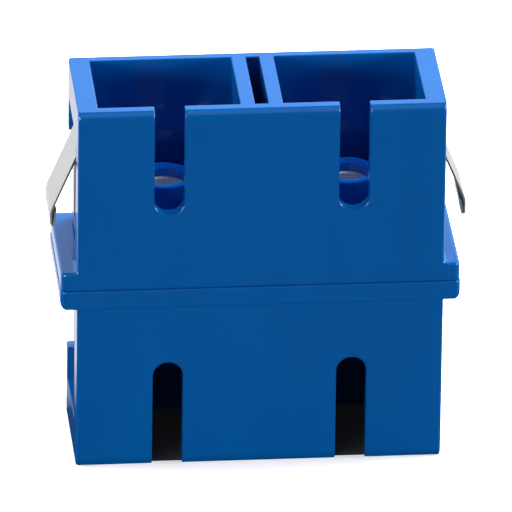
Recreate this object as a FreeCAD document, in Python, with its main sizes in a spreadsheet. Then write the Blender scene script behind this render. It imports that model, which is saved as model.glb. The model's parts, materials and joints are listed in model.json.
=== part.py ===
import FreeCAD, Part
import math
import os

import Sketcher
from FreeCAD import Placement, Rotation, Vector

# SC duplex fibre adapter, reduced flange, with a one-piece sheet-metal panel clip.
# It stands on the end of its lower ports: +Z is the fibre axis, X runs from port to port,
# and the wide wall with the keyways faces -Y. The origin is at the centre of the lower end.
# Every half-length part is drawn from the weld seam outwards: its own z = 0 is the seam.

SIZES = [
    # Ports, keyways and walls: the outer size of the body follows from them
    ("port_pitch", 12.7),
    ("port_width", 9.8),
    ("port_depth", 7.5),
    ("side_wall", 1.4),
    ("wide_wall", 0.9),
    ("half_length", 13.5),
    ("core_gap_width", 0.96),
    ("core_gap_floor", 2.2),
    ("key_width", 2.1),
    ("key_length", 7.87),
    # Outer edges of the housing halves
    ("crown_height", 0.7),
    ("crown_inset", 0.25),
    ("body_edge_round", 0.2),
    ("seam_chamfer", 0.08),
    # Flange
    ("flange_reach", 1.12),
    ("flange_back_reach", 0.5),
    ("flange_half", 1.36),
    ("flange_proud", 0.05),
    ("flange_edge_round", 0.45),
    ("flange_corner_round", 0.5),
    ("flange_root_round", 0.3),
    # Clip channel
    ("channel_depth", 0.45),
    ("channel_front", 2.0),
    ("channel_end_wall", 2.7),
    ("rear_rim_height", 2.4),
    ("rear_rim_wall", 1.1),
    ("back_recess_depth", 0.3),
    # Split sleeves
    ("sleeve_bore", 2.5),
    ("sleeve_wall", 0.35),
    ("sleeve_length", 11.4),
    ("sleeve_slit", 0.5),
    ("sleeve_lead", 0.1),
    ("sleeve_side_clearance", 0.05),
    ("sleeve_end_clearance", 0.05),
    # Latch inserts
    ("seat_lip", 0.28),
    ("plate_thickness", 1.5),
    ("plate_clearance", 0.04),
    ("tube_wall", 0.35),
    ("tube_rim_chamfer", 0.12),
    ("lip_height", 0.78),
    ("lip_overlap", 0.15),
    ("lip_lead", 0.25),
    ("hook_side_gap", 0.45),
    ("hook_arm_thickness", 0.9),
    ("hook_arm_width", 3.0),
    ("hook_catch_height", 8.0),
    ("hook_barb", 0.55),
    ("hook_barb_land", 0.3),
    ("hook_ramp", 1.0),
    ("hook_tip_flat", 0.35),
    ("hook_root_round", 0.4),
    # Spring clip
    ("sheet_thickness", 0.15),
    ("sheet_bend", 0.3),
    ("clip_clearance", 0.1),
    ("clip_flange_gap", 0.5),
    ("clip_end_gap", 0.3),
    ("clip_rim_gap", 0.3),
    ("clip_corner_round", 0.4),
    ("window_front_band", 0.35),
    ("window_rear_band", 1.25),
    ("window_top_band", 0.8),
    ("window_low_band", 0.7),
    ("wing_side_gap", 0.1),
    ("wing_drop", 4.75),
    ("wing_reach", 1.7),
    ("wing_tip_length", 1.1),
    ("wing_bend_round", 1.2),
    ("hem_gap", 0.05),
    ("hem_leg", 0.95),
    ("hem_spread", 0.11),
]

document = FreeCAD.newDocument("sc_duplex_adapter")
sheet = document.addObject("Spreadsheet::Sheet", "Sizes")
for row, (alias, number) in enumerate(SIZES, start=1):
    sheet.set("A%d" % row, alias)
    sheet.set("B%d" % row, str(number))
    sheet.setAlias("B%d" % row, alias)
document.recompute()


class Size:
    """A length that knows its value and the sheet expression that it comes from."""

    def __init__(self, value, text):
        self.value = float(value)
        self.text = text

    def __add__(self, other):
        other = as_size(other)
        return Size(self.value + other.value, "(%s + %s)" % (self.text, other.text))

    def __sub__(self, other):
        other = as_size(other)
        return Size(self.value - other.value, "(%s - %s)" % (self.text, other.text))

    def __mul__(self, other):
        other = as_size(other)
        return Size(self.value * other.value, "(%s * %s)" % (self.text, other.text))

    def __truediv__(self, other):
        other = as_size(other)
        return Size(self.value / other.value, "(%s / %s)" % (self.text, other.text))

    def __neg__(self):
        return Size(-self.value, "(0 - %s)" % self.text)


def as_size(number):
    """A plain number used as a Size, such as a divisor."""
    return number if isinstance(number, Size) else Size(number, repr(number))


def size(alias):
    """The sheet's value of that name."""
    return Size(sheet.get(alias), "Sizes." + alias)


def root(area):
    """The square root of a Size."""
    return Size(math.sqrt(area.value), "sqrt(%s)" % area.text)


ZERO = as_size(0)


# ---- Sketches -------------------------------------------------------------------------------

def plane(body, role):
    """An origin plane of that body."""
    return next(item for item in body.Origin.OriginFeatures if item.Role == role)


def sketch_on(body, role, name, offset=ZERO):
    """An empty sketch on an origin plane, moved along the plane's own normal."""
    sketch = body.newObject("Sketcher::SketchObject", name)
    sketch.AttachmentSupport = [(plane(body, role), "")]
    sketch.MapMode = "FlatFace"
    sketch.AttachmentOffset = Placement(Vector(0, 0, offset.value), Rotation())
    sketch.setExpression("AttachmentOffset.Base.z", offset.text)
    return sketch


def tie(sketch, kind, geometry, point, length):
    """Holds a sketch point at a signed distance from the origin along X or Y."""
    if abs(length.value) < 1e-9:
        axis = -2 if kind == "DistanceX" else -1
        sketch.addConstraint(Sketcher.Constraint("PointOnObject", geometry, point, axis))
        return
    if length.value > 0:
        index = sketch.addConstraint(
            Sketcher.Constraint(kind, -1, 1, geometry, point, length.value))
    else:
        length = -length
        index = sketch.addConstraint(
            Sketcher.Constraint(kind, geometry, point, -1, 1, length.value))
    sketch.setExpression("Constraints[%d]" % index, length.text)


def point_of(corner):
    return Vector(corner[0].value, corner[1].value, 0)


def arc_between(start, end, centre, turn):
    """An arc about the centre: turn is 1 for anticlockwise and -1 for clockwise."""
    if turn < 0:
        start, end = end, start
    circle = Part.Circle(centre, Vector(0, 0, 1), (start - centre).Length)
    first = circle.parameter(start)
    last = circle.parameter(end)
    if last <= first:
        last += 2 * math.pi
    return Part.ArcOfCircle(circle, first, last)


def outline(sketch, corners, arcs=None):
    """A closed outline through the corners. arcs gives the centre and the turn of the arc
    that leaves a corner, by the corner's number."""
    arcs = arcs or {}
    sides = []
    for number, corner in enumerate(corners):
        start = point_of(corner)
        end = point_of(corners[(number + 1) % len(corners)])
        if number in arcs:
            centre, turn = arcs[number]
            side = sketch.addGeometry(arc_between(start, end, point_of(centre), turn))
            sides.append((side, 1, 2) if turn > 0 else (side, 2, 1))
        else:
            side = sketch.addGeometry(Part.LineSegment(start, end))
            sides.append((side, 1, 2))
    for number, (side, first, last) in enumerate(sides):
        after, after_first, _ = sides[(number + 1) % len(sides)]
        sketch.addConstraint(Sketcher.Constraint("Coincident", side, last, after, after_first))
        tie(sketch, "DistanceX", side, first, corners[number][0])
        tie(sketch, "DistanceY", side, first, corners[number][1])
        if number in arcs:
            tie(sketch, "DistanceY", side, 3, arcs[number][0][1])


def rectangle(sketch, left, right, low, high):
    outline(sketch, [(left, low), (right, low), (right, high), (left, high)])


def circle(sketch, x, y, diameter):
    index = sketch.addGeometry(
        Part.Circle(Vector(x.value, y.value, 0), Vector(0, 0, 1), diameter.value / 2))
    tie(sketch, "DistanceX", index, 3, x)
    tie(sketch, "DistanceY", index, 3, y)
    held = sketch.addConstraint(Sketcher.Constraint("Diameter", index, diameter.value))
    sketch.setExpression("Constraints[%d]" % held, diameter.text)


# ---- Features -------------------------------------------------------------------------------

def new_body(name):
    body = document.addObject("PartDesign::Body", name)
    body.Label = name
    return body


def pad(body, name, sketch, length, both_ways=False):
    feature = body.newObject("PartDesign::Pad", name)
    feature.Profile = sketch
    feature.Length = length.value
    feature.setExpression("Length", length.text)
    feature.SideType = "Symmetric" if both_ways else "One side"
    document.recompute()
    return feature


def pocket(body, name, sketch, depth, outwards=False, both_ways=False):
    """A cut from the sketch against its normal, or along it with outwards."""
    before = body.Tip.Shape.Volume
    feature = body.newObject("PartDesign::Pocket", name)
    feature.Profile = sketch
    feature.Length = depth.value
    feature.setExpression("Length", depth.text)
    feature.Reversed = outwards
    feature.SideType = "Symmetric" if both_ways else "One side"
    document.recompute()
    if feature.Shape.Volume >= before - 1e-6:
        raise RuntimeError(name + " removes nothing")
    return feature


def mirrored(body, name, features, role="YZ_Plane"):
    feature = body.newObject("PartDesign::Mirrored", name)
    feature.Originals = features
    feature.MirrorPlane = (plane(body, role), [""])
    body.Tip = feature
    document.recompute()
    return feature


def edges_where(body, wanted):
    """Names of the straight or round edges that the test accepts."""
    edges = body.Tip.Shape.Edges
    return ["Edge%d" % (number + 1) for number, edge in enumerate(edges) if wanted(edge)]


def dress(body, kind, name, edges, amount):
    """A Fillet or a Chamfer on those edges of the body's last feature."""
    feature = body.newObject("PartDesign::" + kind, name)
    feature.Base = (body.Tip if body.Tip != feature else feature.BaseFeature, edges)
    field = "Radius" if kind == "Fillet" else "Size"
    setattr(feature, field, amount.value)
    feature.setExpression(field, amount.text)
    body.Tip = feature
    document.recompute()
    return feature


def near(one, other):
    return abs(one - other) < 1e-4


def runs_along(edge, axis):
    """Whether a straight edge is parallel to that axis, 0 for X, 1 for Y or 2 for Z."""
    if not isinstance(edge.Curve, (Part.Line, Part.LineSegment)):
        return False
    ends = edge.Vertexes
    span = ends[-1].Point - ends[0].Point
    return near(abs(span[axis]), span.Length)


# ---- Housing halves -------------------------------------------------------------------------

mouth = size("half_length")
port_centre = size("port_pitch") / 2
port_half_width = size("port_width") / 2
port_half_depth = size("port_depth") / 2
body_side = port_centre + port_half_width + size("side_wall")
body_back = port_half_depth + size("wide_wall")
flange_side = body_side + size("flange_reach")

channel_floor = body_side - size("channel_depth")
channel_front = size("channel_front") - body_back
channel_top = mouth - size("channel_end_wall")
rear_rim_low = channel_top - size("rear_rim_height")
rear_rim_front = body_back - size("rear_rim_wall")
back_floor = body_back - size("back_recess_depth")
channel_low = size("flange_half")


def housing_half(name, proud, on_panel_side):
    """One moulded half: two ports side by side, their keyways, half of the flange and the
    channel of the spring clip round its back. The panel's side has square flange ends and
    rounded ledge roots, and the other side has round flange ends."""
    half = new_body(name)
    crowned_block(half)
    flange(half, proud, rounded_ends=not on_panel_side)
    ports(half)
    keyways(half)
    clip_channel(half)
    housing_edges(half, proud, on_panel_side)
    return half


def crowned_block(half):
    """The outer block, with the two wide walls rounded off towards the mouth."""
    profile = sketch_on(half, "YZ_Plane", half.Label + "_profile")
    shoulder = mouth - size("crown_height")
    crest = body_back - size("crown_inset")
    rise = size("crown_height")
    run = size("crown_inset")
    radius = (rise * rise + run * run) / (run * 2)
    middle = body_back - radius
    corners = [(-body_back, ZERO), (body_back, ZERO), (body_back, shoulder),
               (crest, mouth), (-crest, mouth), (-body_back, shoulder)]
    arcs = {2: ((middle, shoulder), 1), 4: ((-middle, shoulder), 1)}
    outline(profile, corners, arcs)
    pad(half, half.Label + "_block", profile, body_side * 2, both_ways=True)


def flange(half, proud, rounded_ends):
    """Half of the flange that stops against the panel: level with the front of the body, or
    proud of it all round, and reaching out behind its back."""
    ring = sketch_on(half, "XY_Plane", half.Label + "_flange_outline")
    side = flange_side + proud
    front = body_back + proud
    back = front + size("flange_back_reach")
    turn_x = side - size("flange_edge_round")
    turn_front = front - size("flange_edge_round")
    turn_back = back - size("flange_edge_round")
    corners = [(side, -turn_front), (side, turn_back), (turn_x, back), (-turn_x, back),
               (-side, turn_back), (-side, -turn_front), (-turn_x, -front), (turn_x, -front)]
    arcs = {1: ((turn_x, turn_back), 1), 3: ((-turn_x, turn_back), 1),
            5: ((-turn_x, -turn_front), 1), 7: ((turn_x, -turn_front), 1)}
    outline(ring, corners, arcs)
    pad(half, half.Label + "_flange", ring, size("flange_half"))
    if rounded_ends:
        shaving = sketch_on(half, "XZ_Plane", half.Label + "_flange_end_outline")
        height = size("flange_half")
        low = height - size("flange_corner_round")
        start = side - size("flange_corner_round")
        outline(shaving, [(start, height), (side, low), (side, height)],
                {0: ((start, low), -1)})
        cut = pocket(half, half.Label + "_flange_end", shaving, back * 2, both_ways=True)
        mirrored(half, half.Label + "_other_flange_end", [cut])


def ports(half):
    """The two ports, the seats of the latch inserts and the cored gap between the ports."""
    port = sketch_on(half, "XY_Plane", half.Label + "_port_outline", mouth)
    inner = port_centre - port_half_width
    outer = port_centre + port_half_width
    rectangle(port, inner, outer, -port_half_depth, port_half_depth)
    port_cut = pocket(half, half.Label + "_port", port, mouth)

    seat = sketch_on(half, "XY_Plane", half.Label + "_seat_outline")
    lip = size("seat_lip")
    rectangle(seat, inner - lip, outer + lip, -port_half_depth - lip, port_half_depth + lip)
    seat_cut = pocket(half, half.Label + "_seat", seat, size("plate_thickness"), outwards=True)
    mirrored(half, half.Label + "_second_port", [port_cut, seat_cut])

    gap = sketch_on(half, "XY_Plane", half.Label + "_gap_outline", mouth)
    gap_side = size("core_gap_width") / 2
    rectangle(gap, -gap_side, gap_side, -port_half_depth, port_half_depth)
    pocket(half, half.Label + "_core_gap", gap, mouth - size("core_gap_floor"))


def keyways(half):
    """A slot with a round end through the -Y wall of each port."""
    key = sketch_on(half, "XZ_Plane", half.Label + "_key_outline", body_back)
    reach = size("key_width") / 2
    left = port_centre - reach
    right = port_centre + reach
    low = mouth - size("key_length") + reach
    corners = [(left, mouth), (left, low), (right, low), (right, mouth)]
    outline(key, corners, {1: ((port_centre, low), 1)})
    cut = pocket(half, half.Label + "_keyway", key, size("wide_wall"))
    mirrored(half, half.Label + "_second_keyway", [cut])


def clip_channel(half):
    """The clip's channel: a shallow step on each narrow side, closed behind by a rim near
    the mouth and open round the corner below it, and a step across the back."""
    side = sketch_on(half, "YZ_Plane", half.Label + "_channel_outline", body_side)
    outline(side, [(channel_front, channel_low), (body_back, channel_low),
                   (body_back, rear_rim_low), (rear_rim_front, rear_rim_low),
                   (rear_rim_front, channel_top), (channel_front, channel_top)])
    cut = pocket(half, half.Label + "_channel", side, size("channel_depth"))
    mirrored(half, half.Label + "_second_channel", [cut])

    back = sketch_on(half, "XZ_Plane", half.Label + "_back_outline", -body_back)
    rectangle(back, -channel_floor, channel_floor, channel_low, rear_rim_low)
    pocket(half, half.Label + "_back_recess", back, size("back_recess_depth"), outwards=True)


def housing_edges(half, proud, rounded_roots):
    """Rounds on the long edges, and the narrow chamfer that marks the weld seam."""
    corner = edges_where(half, lambda edge: runs_along(edge, 2)
                         and near(abs(edge.CenterOfMass.x), channel_floor.value)
                         and near(edge.CenterOfMass.y, back_floor.value))
    dress(half, "Fillet", half.Label + "_channel_corners", corner, size("sheet_bend"))

    if rounded_roots:
        ledge_roots = edges_where(half, lambda edge: runs_along(edge, 1)
                                  and near(edge.CenterOfMass.z, size("flange_half").value)
                                  and near(abs(edge.CenterOfMass.x), body_side.value))
        dress(half, "Fillet", half.Label + "_ledge_roots", ledge_roots,
              size("flange_root_round"))

    upright = edges_where(half, lambda edge: runs_along(edge, 2)
                          and near(abs(edge.CenterOfMass.x), body_side.value)
                          and near(abs(edge.CenterOfMass.y), body_back.value))
    dress(half, "Fillet", half.Label + "_uprights", upright, size("body_edge_round"))

    rim = edges_where(half, lambda edge: near(edge.BoundBox.ZMin, 0)
                      and near(edge.BoundBox.ZMax, 0)
                      and on_flange_rim(edge, proud.value))
    dress(half, "Chamfer", half.Label + "_seam", rim, size("seam_chamfer"))


def on_flange_rim(edge, proud):
    """Whether a seam edge belongs to the outer edge of the flange."""
    box = edge.BoundBox
    reach = max(abs(box.XMin), abs(box.XMax))
    front = body_back.value + proud
    return (near(reach, flange_side.value + proud) or near(box.YMin, -front)
            or near(box.YMax, front + size("flange_back_reach").value))


# ---- Latch inserts --------------------------------------------------------------------------

plate_half_width = port_half_width + size("seat_lip") - size("plate_clearance")
plate_half_depth = port_half_depth + size("seat_lip") - size("plate_clearance")
sleeve_outer = size("sleeve_bore") + size("sleeve_wall") * 2
sleeve_seat = sleeve_outer + size("sleeve_side_clearance") * 2
sleeve_seat_end = size("sleeve_length") / 2 + size("sleeve_end_clearance")
tube_outer = sleeve_seat + size("tube_wall") * 2
tube_height = sleeve_seat_end + size("lip_height")
lip_bore = sleeve_outer - size("lip_overlap") * 2
hook_outside = port_half_width - size("hook_side_gap")
hook_inside = hook_outside - size("hook_arm_thickness")


def latch_insert(name):
    """One moulded insert: a plate in the housing's seat, the tube that holds half of the
    split sleeve, and the two latch hooks that catch the plug."""
    insert = new_body(name)
    plate = sketch_on(insert, "XY_Plane", name + "_plate_outline")
    rectangle(plate, -plate_half_width, plate_half_width, -plate_half_depth, plate_half_depth)
    pad(insert, name + "_plate", plate, size("plate_thickness"))

    tube = sketch_on(insert, "XY_Plane", name + "_tube_outline")
    circle(tube, ZERO, ZERO, tube_outer)
    pad(insert, name + "_tube", tube, tube_height)

    arm = pad(insert, name + "_hook", hook_profile(insert), size("hook_arm_width"),
              both_ways=True)
    mirrored(insert, name + "_second_hook", [arm])
    roots = edges_where(insert, lambda edge: runs_along(edge, 1)
                        and near(edge.CenterOfMass.z, size("plate_thickness").value)
                        and near(abs(edge.CenterOfMass.x), hook_inside.value))
    dress(insert, "Fillet", name + "_hook_roots", roots, size("hook_root_round"))
    rim = edges_where(insert, is_tube_rim)
    dress(insert, "Chamfer", name + "_tube_rim", rim, size("tube_rim_chamfer"))

    seat = sketch_on(insert, "XY_Plane", name + "_sleeve_seat_outline")
    circle(seat, ZERO, ZERO, sleeve_seat)
    pocket(insert, name + "_sleeve_seat", seat, sleeve_seat_end, outwards=True)
    lip = sketch_on(insert, "XY_Plane", name + "_lip_outline")
    circle(lip, ZERO, ZERO, lip_bore)
    pocket(insert, name + "_lip", lip, tube_height, outwards=True)
    lead = edges_where(insert, lambda edge: is_tube_rim(edge)
                       and near(edge.BoundBox.XLength, lip_bore.value))
    dress(insert, "Chamfer", name + "_lead", lead, size("lip_lead"))
    return insert


def is_tube_rim(edge):
    """Whether an edge lies in the end face of the sleeve tube."""
    box = edge.BoundBox
    return near(box.ZMin, tube_height.value) and near(box.ZMax, box.ZMin)


def hook_profile(insert):
    """The section of one latch arm: upright, with a barb that the plug rides over."""
    hook = sketch_on(insert, "XZ_Plane", insert.Label + "_hook_profile")
    barb = hook_inside - size("hook_barb")
    tip = hook_outside - size("hook_tip_flat")
    catch = size("hook_catch_height")
    ramp_foot = catch + size("hook_barb_land")
    top = ramp_foot + size("hook_ramp")
    outline(hook, [(hook_inside, ZERO), (hook_outside, ZERO), (hook_outside, top), (tip, top),
                   (barb, ramp_foot), (barb, catch), (hook_inside, catch)])
    return hook


# ---- Split sleeves --------------------------------------------------------------------------

def split_sleeve(name):
    """A ceramic sleeve with one slit along its whole length, on the side of the keyways."""
    sleeve = new_body(name)
    ring = sketch_on(sleeve, "XY_Plane", name + "_ring")
    circle(ring, ZERO, ZERO, sleeve_outer)
    circle(ring, ZERO, ZERO, size("sleeve_bore"))
    pad(sleeve, name + "_ring_pad", ring, size("sleeve_length"), both_ways=True)
    ends = edges_where(sleeve, lambda edge: near(abs(edge.CenterOfMass.z),
                                                 size("sleeve_length").value / 2))
    dress(sleeve, "Chamfer", name + "_leads", ends, size("sleeve_lead"))
    slit = sketch_on(sleeve, "XY_Plane", name + "_slit_outline")
    half_slit = size("sleeve_slit") / 2
    rectangle(slit, -half_slit, half_slit, -sleeve_outer, ZERO)
    pocket(sleeve, name + "_slit", slit, size("sleeve_length"), both_ways=True)
    return sleeve


# ---- Spring clip ----------------------------------------------------------------------------

def spring_clip(name):
    """One stamped and folded sheet: a back plate, two side legs and a sprung wing lanced out
    of each leg, hemmed at its tip."""
    clip = new_body(name)
    leg_inside = channel_floor
    leg_outside = channel_floor + size("sheet_thickness")
    back_inside = back_floor
    back_outside = back_floor + size("sheet_thickness")
    front = channel_front + size("clip_clearance")
    low = channel_low + size("clip_flange_gap")
    high = channel_top - size("clip_end_gap")
    folded_sheet(clip, (leg_inside, leg_outside), (back_inside, back_outside), front, low, high)

    shoulder = sketch_on(clip, "XZ_Plane", name + "_shoulder_outline", -back_outside)
    leg_rear = rear_rim_front - size("clip_clearance")
    rectangle(shoulder, -leg_outside, leg_outside, rear_rim_low - size("clip_rim_gap"), high)
    pocket(clip, name + "_shoulder", shoulder, back_outside - leg_rear, outwards=True)

    window = sketch_on(clip, "YZ_Plane", name + "_window_outline", leg_outside)
    window_front = front + size("window_front_band")
    window_rear = leg_rear - size("window_rear_band")
    window_top = high - size("window_top_band")
    rectangle(window, window_front, window_rear, low + size("window_low_band"), window_top)
    opening = pocket(clip, name + "_window", window, size("sheet_thickness"))
    wing = wing_pad(clip, (leg_inside, leg_outside), (window_front, window_rear), window_top)
    mirrored(clip, name + "_second_wing", [opening, wing])
    clip_edges(clip, front, window_top)
    return clip


def clip_edges(clip, front, window_top):
    """The bend of each wing and the round front corners of the legs."""
    thickness = size("sheet_thickness")
    reach = (body_side + size("wing_reach")).value
    bend = (window_top - size("wing_drop")).value
    outer = edges_where(clip, lambda edge: runs_along(edge, 1)
                        and near(abs(edge.CenterOfMass.x), reach)
                        and near(edge.CenterOfMass.z, bend))
    dress(clip, "Fillet", clip.Label + "_outer_bends", outer, size("wing_bend_round") + thickness)
    inner = edges_where(clip, lambda edge: runs_along(edge, 1)
                        and near(abs(edge.CenterOfMass.x), reach - thickness.value)
                        and abs(edge.CenterOfMass.z - bend) < thickness.value)
    dress(clip, "Fillet", clip.Label + "_inner_bends", inner, size("wing_bend_round"))
    corners = edges_where(clip, lambda edge: runs_along(edge, 0)
                          and near(edge.CenterOfMass.y, front.value)
                          and near(edge.BoundBox.XLength, thickness.value))
    dress(clip, "Fillet", clip.Label + "_leg_corners", corners, size("clip_corner_round"))


def folded_sheet(clip, leg, back, front, low, high):
    """The U of the sheet, seen along the fibre axis, as high as the side legs."""
    leg_inside, leg_outside = leg
    back_inside, back_outside = back
    bend_x = leg_inside - size("sheet_bend")
    bend_y = back_inside - size("sheet_bend")
    corners = [(leg_outside, front), (leg_outside, bend_y), (bend_x, back_outside),
               (-bend_x, back_outside), (-leg_outside, bend_y), (-leg_outside, front),
               (-leg_inside, front), (-leg_inside, bend_y), (-bend_x, back_inside),
               (bend_x, back_inside), (leg_inside, bend_y), (leg_inside, front)]
    arcs = {1: ((bend_x, bend_y), 1), 3: ((-bend_x, bend_y), 1),
            7: ((-bend_x, bend_y), -1), 9: ((bend_x, bend_y), -1)}
    fold = sketch_on(clip, "XY_Plane", clip.Label + "_fold", low)
    outline(fold, corners, arcs)
    pad(clip, clip.Label + "_fold_pad", fold, high - low)


def wing_pad(clip, leg, window, top):
    """The wing's section: a slope out of the leg, an upright tip and its hem turned inwards."""
    leg_inside, leg_outside = leg
    window_front, window_rear = window
    thickness = size("sheet_thickness")
    reach = body_side + size("wing_reach")
    run = reach - leg_outside
    drop = size("wing_drop")
    slope = root(run * run + drop * drop)
    bend_shift = thickness * (slope - drop) / run
    bend = top - drop
    hem_inside = reach - thickness - size("hem_gap")
    hem_outside = hem_inside - thickness
    hem_middle = reach - thickness - size("hem_gap") / 2
    turn_height = bend - size("wing_tip_length") + size("hem_gap") / 2 + thickness
    leg_end = turn_height + size("hem_leg")
    spread = size("hem_spread")
    corners = [(leg_outside, top), (leg_inside, top), (leg_inside, top - bend_shift),
               (reach - thickness, bend - bend_shift), (reach - thickness, turn_height),
               (hem_inside, turn_height), (hem_inside - spread, leg_end),
               (hem_outside - spread, leg_end),
               (hem_outside, turn_height), (reach, turn_height), (reach, bend)]
    arcs = {4: ((hem_middle, turn_height), -1), 8: ((hem_middle, turn_height), 1)}
    middle = (window_front + window_rear) / 2
    profile = sketch_on(clip, "XZ_Plane", clip.Label + "_wing_profile", -middle)
    outline(profile, corners, arcs)
    width = window_rear - window_front - size("wing_side_gap") * 2
    return pad(clip, clip.Label + "_wing", profile, width, both_ways=True)


# ---- Assembly -------------------------------------------------------------------------------

TURNED = Rotation(Vector(0, 1, 0), 180)


def place(body, x=ZERO, rotation=Rotation()):
    """Puts a half-length part at the weld seam, with the flange's depth centred on Y = 0."""
    y = -size("flange_back_reach") / 2
    body.Placement = Placement(Vector(x.value, y.value, mouth.value), rotation)
    body.setExpression("Placement.Base.x", x.text)
    body.setExpression("Placement.Base.y", y.text)
    body.setExpression("Placement.Base.z", mouth.text)
    return body


parts = [
    place(housing_half("upper_housing", ZERO, on_panel_side=True)),
    place(housing_half("lower_housing", size("flange_proud"), on_panel_side=False),
          rotation=TURNED),
    place(spring_clip("spring_clip")),
]
for side, x in (("left", -port_centre), ("right", port_centre)):
    parts.append(place(latch_insert("upper_latch_insert_" + side), x))
    parts.append(place(latch_insert("lower_latch_insert_" + side), x, TURNED))
    parts.append(place(split_sleeve("ceramic_sleeve_" + side), x))

document.recompute()
for item in document.Objects:
    if "Invalid" in item.State or "Error" in item.State:
        raise RuntimeError("%s failed: %s" % (item.Name, item.State))

os.makedirs("parts", exist_ok=True)
for part in parts:
    if part.Shape.isNull() or not part.Shape.isValid() or len(part.Shape.Solids) != 1:
        raise RuntimeError(part.Label + " is not one valid solid")
    part.Shape.exportStep("parts/%s.step" % part.Label)
    print(part.Label, round(part.Shape.Volume, 3), part.Shape.BoundBox)
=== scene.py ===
import json
import math

import bpy
from mathutils import Matrix, Vector


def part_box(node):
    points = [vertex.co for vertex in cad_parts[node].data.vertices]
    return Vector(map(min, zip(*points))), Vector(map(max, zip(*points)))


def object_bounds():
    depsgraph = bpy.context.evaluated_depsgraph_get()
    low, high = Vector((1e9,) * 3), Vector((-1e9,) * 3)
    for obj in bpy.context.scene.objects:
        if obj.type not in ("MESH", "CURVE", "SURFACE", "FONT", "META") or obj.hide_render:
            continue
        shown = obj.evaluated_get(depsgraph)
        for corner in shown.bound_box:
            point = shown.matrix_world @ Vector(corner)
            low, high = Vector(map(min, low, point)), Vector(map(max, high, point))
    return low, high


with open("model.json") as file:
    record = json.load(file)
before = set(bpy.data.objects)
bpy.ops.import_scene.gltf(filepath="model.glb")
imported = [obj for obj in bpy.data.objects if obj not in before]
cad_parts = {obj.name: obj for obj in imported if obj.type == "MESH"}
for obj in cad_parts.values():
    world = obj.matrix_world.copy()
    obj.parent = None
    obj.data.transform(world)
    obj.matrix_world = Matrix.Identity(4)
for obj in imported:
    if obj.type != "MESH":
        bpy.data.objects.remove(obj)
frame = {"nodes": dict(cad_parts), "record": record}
cad_box = [list(corner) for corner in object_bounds()]

MM = 0.001
WHITE = (1.0, 1.0, 1.0, 1.0)
scene = bpy.context.scene
scene.view_settings.view_transform = "Standard"
middle = (Vector(cad_box[0]) + Vector(cad_box[1])) / 2
mounts = {mount["name"]: mount for mount in frame["record"]["mounts"]}
port_axis_y = mounts["sleeve_bore_left"]["pos_m"][1]


# ---- Camera: nearly parallel, a little to the left of the keyway face and above it ----------

CAMERA_AZIMUTH = -5.5
CAMERA_ELEVATION = 26.25
CAMERA_ROLL = 0.77
CAMERA_DISTANCE = 0.862
CAMERA_REACH = 10.0
VIEW_WIDTH = 35.35 * MM
SENSOR_WIDTH = 36.0
SHIFT_RIGHT = 0.0025
SHIFT_UP = 0.0013


def direction(azimuth, elevation):
    """Unit vector from the object: azimuth 0 is in front (-Y), 90 is at the right (+X)."""
    turn = math.radians(azimuth)
    lift = math.radians(elevation)
    return Vector((math.sin(turn) * math.cos(lift), -math.cos(turn) * math.cos(lift),
                   math.sin(lift)))


def looking_at(target, away, distance, roll=0.0):
    """A matrix whose -Z axis looks at the target from that far along the direction."""
    turn = away.to_track_quat("Z", "Y").to_matrix().to_4x4()
    return (Matrix.Translation(target + away * distance) @ turn
            @ Matrix.Rotation(math.radians(roll), 4, "Z"))


def add_camera():
    """The scene's camera, aimed at the middle of the object on the plane of the port axes."""
    data = bpy.data.cameras.new("camera")
    camera = bpy.data.objects.new("camera", data)
    scene.collection.objects.link(camera)
    data.sensor_width = SENSOR_WIDTH
    data.lens = SENSOR_WIDTH * CAMERA_DISTANCE / VIEW_WIDTH
    data.clip_end = CAMERA_REACH
    data.shift_x = SHIFT_RIGHT
    data.shift_y = SHIFT_UP
    camera.matrix_world = looking_at(Vector((middle.x, port_axis_y, middle.z)),
                                     direction(CAMERA_AZIMUTH, CAMERA_ELEVATION),
                                     CAMERA_DISTANCE, CAMERA_ROLL)
    scene.camera = camera


# ---- Node helpers ---------------------------------------------------------------------------

NOISE_LOW = 0.3
NOISE_HIGH = 0.7
EDGE_SAMPLES = 8


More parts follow.
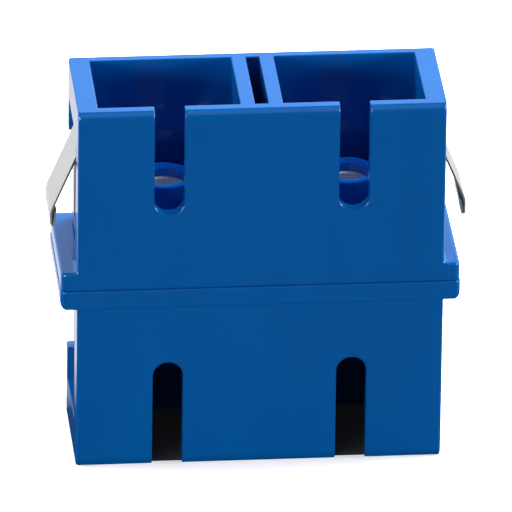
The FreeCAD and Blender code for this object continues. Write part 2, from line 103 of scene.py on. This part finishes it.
class Nodes:
    """Short names for the shader nodes of one material or world."""

    def __init__(self, owner, coordinates="Object"):
        owner.use_nodes = True
        self.tree = owner.node_tree
        self.place = self.add("ShaderNodeTexCoord").outputs[coordinates]

    def add(self, kind, **settings):
        node = self.tree.nodes.new(kind)
        for key, value in settings.items():
            setattr(node, key, value)
        return node

    def put(self, source, target):
        """A link from a socket, or a plain value."""
        if isinstance(source, bpy.types.NodeSocket):
            self.tree.links.new(source, target)
        else:
            target.default_value = source

    def surface(self, socket, source):
        """Gives that socket of the surface's shader a link or a plain value."""
        self.put(source, self.tree.nodes["Principled BSDF"].inputs[socket])

    def split(self, vector):
        """The sockets X, Y and Z of a vector."""
        node = self.add("ShaderNodeSeparateXYZ")
        self.put(vector, node.inputs[0])
        return node.outputs

    def stretched(self, x, y, z):
        """The place scaled along each axis: under 1 draws a pattern out along it."""
        node = self.add("ShaderNodeMapping")
        self.put(self.place, node.inputs["Vector"])
        node.inputs["Scale"].default_value = (x, y, z)
        return node.outputs["Vector"]

    def noise(self, feature_size, detail=2.0, place=None):
        """Noise whose blotches are about that many metres across."""
        node = self.add("ShaderNodeTexNoise")
        self.put(place or self.place, node.inputs["Vector"])
        node.inputs["Scale"].default_value = 1.0 / feature_size
        node.inputs["Detail"].default_value = detail
        return node.outputs["Fac"]

    def spread(self, factor, low, high, start=NOISE_LOW, end=NOISE_HIGH):
        """A number from low to high as the factor goes from start to end."""
        node = self.add("ShaderNodeMapRange")
        self.put(factor, node.inputs["Value"])
        for key, value in (("From Min", start), ("From Max", end), ("To Min", low),
                           ("To Max", high)):
            node.inputs[key].default_value = value
        return node.outputs["Result"]

    def maths(self, operation, first, second=0.0):
        node = self.add("ShaderNodeMath", operation=operation)
        self.put(first, node.inputs[0])
        self.put(second, node.inputs[1])
        return node.outputs["Value"]

    def blend(self, factor, first, second):
        """The first colour where the factor is 0 and the second where it is 1."""
        node = self.add("ShaderNodeMix", data_type="RGBA")
        self.put(factor, node.inputs["Factor"])
        self.put(first, node.inputs["A"])
        self.put(second, node.inputs["B"])
        return node.outputs["Result"]

    def rounded_edges(self, radius):
        node = self.add("ShaderNodeBevel", samples=EDGE_SAMPLES)
        node.inputs["Radius"].default_value = radius
        return node.outputs["Normal"]

    def bump(self, pattern, height, strength, normal):
        """A normal that the pattern raises by up to that height."""
        node = self.add("ShaderNodeBump")
        self.put(pattern, node.inputs["Height"])
        self.put(normal, node.inputs["Normal"])
        node.inputs["Distance"].default_value = height
        node.inputs["Strength"].default_value = strength
        return node.outputs["Normal"]


# ---- Materials ------------------------------------------------------------------------------

HOUSING_BLUE = (0.0005, 0.088, 0.325, 1.0)
HOUSING_BLUE_DEEP = (0.0005, 0.081, 0.300, 1.0)
HOUSING_EDGE = 0.18 * MM
# Painted light: the insert's own blue, painted lighter to stand in for light missing deep in the
# keyways
INSERT_BLUE_PAINTED_LIGHTER = (0.0010, 0.130, 0.60, 1.0)
INSERT_BLUE_DEEP_PAINTED_LIGHTER = (0.0008, 0.120, 0.56, 1.0)
INSERT_EDGE = 0.03 * MM
FLOW_CLOUD = 6 * MM
FLOW_STRETCH = (1.0, 1.0, 0.35)
FLOW_HEIGHT = 0.02 * MM
FLOW_BUMP = 0.15
FLOW_ROUGHNESS = (0.09, 0.12)
GRAIN = 0.11 * MM
GRAIN_HEIGHT = 0.002 * MM
GRAIN_BUMP = 0.2
GRAIN_ROUGHNESS = (0.0, 0.03)

# Painted shade: the sleeves' white and grey are painted darker than zirconia's own white
CERAMIC_SHADED_WHITE = (0.66, 0.67, 0.68, 1.0)
CERAMIC_SHADED_GREY = (0.58, 0.60, 0.62, 1.0)
CERAMIC_EDGE = 0.03 * MM
HONING_LINE = 0.15 * MM
HONING_STRETCH = (1.0, 1.0, 0.05)
HONING_HEIGHT = 0.001 * MM
HONING_BUMP = 0.4
HONING_ROUGHNESS = (0.10, 0.18)

STEEL = (0.63, 0.63, 0.64, 1.0)
STEEL_STAINED = (0.57, 0.57, 0.59, 1.0)
STEEL_EDGE = 0.02 * MM
ROLLING_LINE = 0.09 * MM
ROLLING_STRETCH = (0.04, 0.04, 1.0)
ROLLING_HEIGHT = 0.001 * MM
ROLLING_BUMP = 0.1
ROLLING_ROUGHNESS = (0.24, 0.30)
STAIN = 2.5 * MM
# Painted shade: the cut edges are painted near black along the legs, fading to grey at the tips
CUT_PAINTED_SHADE = (0.05, 0.05, 0.06, 1.0)
CUT_EDGE_AT_TIPS = (0.40, 0.40, 0.39, 1.0)
CUT_METALLIC = 0.5
CUT_ROUGHENING = 0.3
CUT_FACING = 0.95

# Distances inwards from the clip's outermost points: to its legs, to where the painted
# shade on its cut edges ends, and to the start of the bends round its back
TIP_TO_LEG = 1.95 * MM
TIP_TO_SHADE_END = 0.05 * MM
BACK_TO_BEND = 0.75 * MM


def moulded_plastic(name, colour, deep_colour, edge_radius):
    """Glossy moulded plastic: faint flow clouds, a fine grain and a soft edge."""
    material = bpy.data.materials.new(name)
    nodes = Nodes(material)
    clouds = nodes.noise(FLOW_CLOUD, detail=3.0, place=nodes.stretched(*FLOW_STRETCH))
    grain = nodes.noise(GRAIN, detail=3.0)
    nodes.surface("Base Color", nodes.blend(nodes.spread(clouds, 0.0, 1.0), colour, deep_colour))
    nodes.surface("Roughness", nodes.maths("ADD", nodes.spread(clouds, *FLOW_ROUGHNESS),
                                           nodes.spread(grain, *GRAIN_ROUGHNESS)))
    ripple = nodes.bump(clouds, FLOW_HEIGHT, FLOW_BUMP, nodes.rounded_edges(edge_radius))
    nodes.surface("Normal", nodes.bump(grain, GRAIN_HEIGHT, GRAIN_BUMP, ripple))
    return material


def polished_ceramic():
    """White zirconia, honed along its bore, its white painted darker as painted shade in the
    tubes.
    """
    material = bpy.data.materials.new("polished_ceramic")
    nodes = Nodes(material)
    honing = nodes.noise(HONING_LINE, place=nodes.stretched(*HONING_STRETCH))
    nodes.surface("Base Color", nodes.blend(nodes.spread(honing, 0.0, 1.0), CERAMIC_SHADED_GREY,
                                            CERAMIC_SHADED_WHITE))
    nodes.surface("Roughness", nodes.spread(honing, *HONING_ROUGHNESS))
    nodes.surface("Normal", nodes.bump(honing, HONING_HEIGHT, HONING_BUMP,
                                       nodes.rounded_edges(CERAMIC_EDGE)))
    return material


def rolled_steel():
    """Spring steel sheet: fine rolling lines, and rougher edges where it was cut, which carry
    painted shade.
    """
    material = bpy.data.materials.new("rolled_steel")
    nodes = Nodes(material)
    lines = nodes.noise(ROLLING_LINE, detail=3.0, place=nodes.stretched(*ROLLING_STRETCH))
    stains = nodes.noise(STAIN)
    sheet_colour = nodes.blend(nodes.spread(stains, 0.0, 1.0), STEEL, STEEL_STAINED)
    cut = cut_edge_mask(nodes)
    # Painted shade on the cut edges
    nodes.surface("Base Color", nodes.blend(cut, sheet_colour, cut_edge_colour(nodes)))
    nodes.surface("Metallic", nodes.spread(cut, 1.0, CUT_METALLIC, start=0.0, end=1.0))
    nodes.surface("Roughness", nodes.maths("ADD", nodes.spread(lines, *ROLLING_ROUGHNESS),
                                           nodes.maths("MULTIPLY", cut, CUT_ROUGHENING)))
    nodes.surface("Normal", nodes.bump(lines, ROLLING_HEIGHT, ROLLING_BUMP,
                                       nodes.rounded_edges(STEEL_EDGE)))
    return material


def cut_edge_colour(nodes):
    """Painted shade on the cut edges: near black along the legs, fading to grey towards the
    hemmed tips.
    """
    tip_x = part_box("spring_clip")[1].x
    outwards = nodes.maths("ABSOLUTE", nodes.split(nodes.place)["X"])
    # How far the painted shade has faded, from the legs out to the tips
    shade_fade = nodes.spread(outwards, 0.0, 1.0, start=tip_x - TIP_TO_LEG,
                          end=tip_x - TIP_TO_SHADE_END)
    return nodes.blend(shade_fade, CUT_PAINTED_SHADE, CUT_EDGE_AT_TIPS)


def cut_edge_mask(nodes):
    """1 on the sheet's cut edges, which face along Y on the legs and wings, or along Z."""
    back_bend_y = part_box("spring_clip")[1].y - BACK_TO_BEND
    geometry = nodes.add("ShaderNodeNewGeometry")
    normal = nodes.split(geometry.outputs["True Normal"])
    along_y = nodes.maths("GREATER_THAN", nodes.maths("ABSOLUTE", normal["Y"]), CUT_FACING)
    along_z = nodes.maths("GREATER_THAN", nodes.maths("ABSOLUTE", normal["Z"]), CUT_FACING)
    before_bend = nodes.maths("LESS_THAN", nodes.split(nodes.place)["Y"], back_bend_y)
    return nodes.maths("MAXIMUM", nodes.maths("MULTIPLY", along_y, before_bend), along_z)


def dress_nodes():
    """Gives every node of the frame the finish of its slot in the record."""
    finishes = {
        "housing": moulded_plastic("housing_plastic", HOUSING_BLUE, HOUSING_BLUE_DEEP,
                                   HOUSING_EDGE),
        # The insert's blue holds painted light
        "insert": moulded_plastic("insert_plastic", INSERT_BLUE_PAINTED_LIGHTER, INSERT_BLUE_DEEP_PAINTED_LIGHTER, INSERT_EDGE),
        "ceramic": polished_ceramic(),
        "clip": rolled_steel(),
    }
    for part in frame["record"]["subparts"]:
        node = frame["nodes"][part["node"]]
        finish = finishes[part["material_slot"]]
        if not node.material_slots:
            node.data.materials.append(finish)
        for slot in node.material_slots:
            slot.material = finish


# ---- Floor ----------------------------------------------------------------------------------

FLOOR_REACH = 3.0
FLOOR_ROUGHNESS = 0.9
FLOOR_WHITE = (0.97, 0.97, 0.97, 1.0)
FLOOR_BOUNCE = (0.02, 0.02, 0.02, 1.0)
FLOOR_GLOW = 0.45
MIRRORED_FLOOR = 0.95
MIRRORED_FROM_Y = 4 * MM
MIRRORED_TO_Y = 12 * MM
# Painted shade: inside the lower ports the floor is painted dark and hardly glows
PAINTED_SHADE_IN_PORTS = (0.10, 0.10, 0.105, 1.0)
PAINTED_SHADE_GLOW = 0.002
UNDER_WALL = 0.4 * MM


def floor():
    """A plain white floor. The camera sees it lit up to white, with the object's shadow on it.
    It throws little light back at the object. Steel and gloss see it as white behind the
    object. Inside the lower ports it is painted dark, as painted shade."""
    mesh = bpy.data.meshes.new("floor")
    reach = FLOOR_REACH
    mesh.from_pydata([(-reach, -reach, 0), (reach, -reach, 0), (reach, reach, 0),
                      (-reach, reach, 0)], [], [(0, 1, 2, 3)])
    sheet = bpy.data.objects.new("floor", mesh)
    scene.collection.objects.link(sheet)

    material = bpy.data.materials.new("floor_paper")
    nodes = Nodes(material)
    place = nodes.split(nodes.place)
    rays = nodes.add("ShaderNodeLightPath").outputs
    painted_shade_mask = painted_shade_under_ports(nodes, place)
    seen = nodes.blend(rays["Is Camera Ray"], FLOOR_BOUNCE, FLOOR_WHITE)
    # Painted shade: the floor is painted dark inside the lower ports
    nodes.surface("Base Color", nodes.blend(painted_shade_mask, seen, PAINTED_SHADE_IN_PORTS))
    nodes.surface("Roughness", FLOOR_ROUGHNESS)
    nodes.surface("Specular IOR Level", 0.0)
    behind = nodes.spread(place["Y"], 0.0, MIRRORED_FLOOR, start=MIRRORED_FROM_Y,
                          end=MIRRORED_TO_Y)
    mirrored = nodes.maths("MULTIPLY", rays["Is Glossy Ray"], behind)
    # Painted shade: the floor hardly glows inside the lower ports
    glow = nodes.spread(painted_shade_mask, FLOOR_GLOW, PAINTED_SHADE_GLOW, start=0.0, end=1.0)
    glowing = nodes.maths("MULTIPLY", rays["Is Camera Ray"], glow)
    nodes.surface("Emission Strength", nodes.maths("ADD", mirrored, glowing))
    mesh.materials.append(material)


def painted_shade_under_ports(nodes, place):
    """1 on the floor inside the lower ports, whose mouths rest on it: painted shade goes there.
    """
    corners = [Vector(corner) for opening in frame["record"]["physics"]["openings"]
               if opening["name"].startswith("lower_port") for corner in opening["box_m"]]
    reach_x = max(abs(corner.x) for corner in corners) + UNDER_WALL
    low_y = min(corner.y for corner in corners) - UNDER_WALL
    high_y = max(corner.y for corner in corners) + UNDER_WALL
    within_x = nodes.maths("LESS_THAN", nodes.maths("ABSOLUTE", place["X"]), reach_x)
    behind_front = nodes.maths("GREATER_THAN", place["Y"], low_y)
    before_back = nodes.maths("LESS_THAN", place["Y"], high_y)
    return nodes.maths("MULTIPLY", within_x, nodes.maths("MULTIPLY", behind_front, before_back))


# ---- Light tent and lamps -------------------------------------------------------------------

# Heights and depths in the tent are those of the unit vector towards that part of it
TENT_FRONT = 0.02
TENT_BACK = 0.8
TENT_FADE = 0.6
TENT_TOP = 0.15
TENT_TOP_START = 0.50
TENT_TOP_END = 0.60

LAMP_DISTANCE = 0.60

# Name, azimuth, elevation, width, height, radiance, and whether gloss and steel mirror it
LAMPS = [
    ("key_above_right", 122, 48, 0.50, 0.50, 14.5, False),
    ("left_above", -110, 38, 0.30, 0.30, 14.0, False),
    ("front_left", -45, 6, 0.40, 0.16, 14.0, True),
    ("front_right", 68, 6, 0.40, 0.16, 18.0, True),
    ("front_fill", -5, 30, 0.30, 0.30, 0.5, True),
]


def light_tent():
    """A surround that the camera sees as white. Its light is bright from behind the object,
    and dim from the camera's side and from overhead."""
    world = bpy.data.worlds.new("light_tent")
    scene.world = world
    nodes = Nodes(world, "Generated")
    place = nodes.split(nodes.place)
    fade = nodes.spread(place["Y"], TENT_FRONT, TENT_BACK, start=-TENT_FADE, end=TENT_FADE)
    ceiling = nodes.spread(place["Z"], 1.0, TENT_TOP, start=TENT_TOP_START, end=TENT_TOP_END)
    rays = nodes.add("ShaderNodeLightPath").outputs
    strength = nodes.maths("MAXIMUM", rays["Is Camera Ray"],
                           nodes.maths("MULTIPLY", fade, ceiling))
    background = nodes.tree.nodes["Background"]
    background.inputs["Color"].default_value = WHITE
    nodes.put(strength, background.inputs["Strength"])


def softbox(name, azimuth, elevation, width, height, radiance, mirrored):
    """A rectangular lamp of even brightness, aimed at the middle of the object."""
    data = bpy.data.lights.new(name, "AREA")
    data.shape = "RECTANGLE"
    data.size = width
    data.size_y = height
    data.energy = radiance * math.pi * width * height
    lamp = bpy.data.objects.new(name, data)
    scene.collection.objects.link(lamp)
    lamp.visible_glossy = mirrored
    lamp.matrix_world = looking_at(middle, direction(azimuth, elevation), LAMP_DISTANCE)


add_camera()
dress_nodes()
floor()
light_tent()
for lamp in LAMPS:
    softbox(*lamp)
